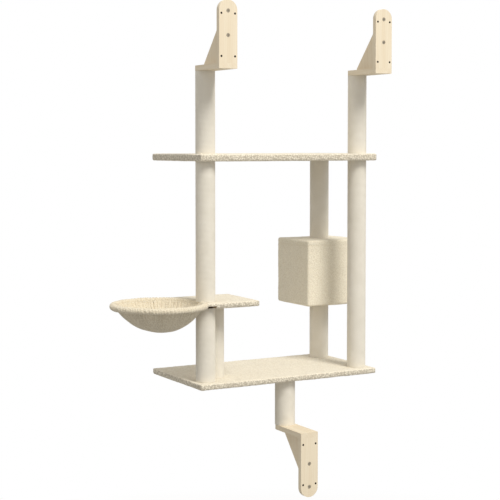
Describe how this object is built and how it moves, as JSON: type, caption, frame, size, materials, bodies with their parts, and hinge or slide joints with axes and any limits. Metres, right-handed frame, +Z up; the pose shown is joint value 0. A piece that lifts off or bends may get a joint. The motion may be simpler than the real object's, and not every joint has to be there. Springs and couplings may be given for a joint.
{
  "type": "wall mounted cat tree",
  "caption": "Wall mounted cat tree: pine brackets carry rope wrapped posts with plush platforms, a cube condo and a round hammock.",
  "frame": {"origin": "centre of the lower bracket's four wall holes, on the wall's face", "axes": "+X along the wall to the right as seen from the room, +Y into the wall, +Z up"},
  "size_m": [1.106, 0.545, 1.739],
  "materials": {
    "pine": "bare planed pine, clear grain",
    "rope_wrap": "off-white fine rope wound round the post",
    "plush": "cream short curly plush",
    "particle_board": "raw particle board",
    "cardboard": "spiral wound cardboard tube",
    "plug_wood": "raw softwood disc",
    "dowel_wood": "beech dowel",
    "zinc_steel": "zinc plated steel",
    "screw_steel": "zinc plated steel screw",
    "ring_steel": "painted steel wire"
  },
  "bodies": {
    "root": {"right_wall_plate": "pine", "right_bracket_board": "pine", "right_gusset": "pine", "left_wall_plate": "pine", "left_bracket_board": "pine", "left_gusset": "pine", "lower_wall_plate": "pine", "lower_bracket_board": "pine", "lower_gusset": "pine", "gusset_screws": "screw_steel", "bracket_dowels": "dowel_wood", "right_upper_post_wrap": "rope_wrap", "right_upper_post_core": "cardboard", "right_middle_post_wrap": "rope_wrap", "right_middle_post_core": "cardboard", "right_lower_post_wrap": "rope_wrap", "right_lower_post_core": "cardboard", "left_upper_post_wrap": "rope_wrap", "left_upper_post_core": "cardboard", "left_long_post_wrap": "rope_wrap", "left_long_post_core": "cardboard", "condo_upper_post_wrap": "rope_wrap", "condo_upper_post_core": "cardboard", "condo_lower_post_wrap": "rope_wrap", "condo_lower_post_core": "cardboard", "inner_post_wrap": "rope_wrap", "inner_post_core": "cardboard", "lower_post_wrap": "rope_wrap", "lower_post_core": "cardboard", "post_end_plugs": "plug_wood", "threaded_inserts": "zinc_steel", "bottom_board": "particle_board", "bottom_plush": "plush", "top_board": "particle_board", "top_plush": "plush", "middle_board": "particle_board", "middle_plush": "plush", "hammock_ring": "ring_steel", "hammock_tab": "ring_steel", "hammock_spacer": "ring_steel", "hammock_rim": "plush", "hammock_bowl": "plush", "condo_floor_panel": "particle_board", "condo_roof_panel": "particle_board", "condo_front_panel": "particle_board", "condo_back_panel": "particle_board", "condo_left_panel": "particle_board", "condo_right_panel": "particle_board", "condo_screws": "zinc_steel", "condo_plush": "plush", "post_bolts": "zinc_steel", "post_studs": "zinc_steel"}
  },
  "joints": []
}
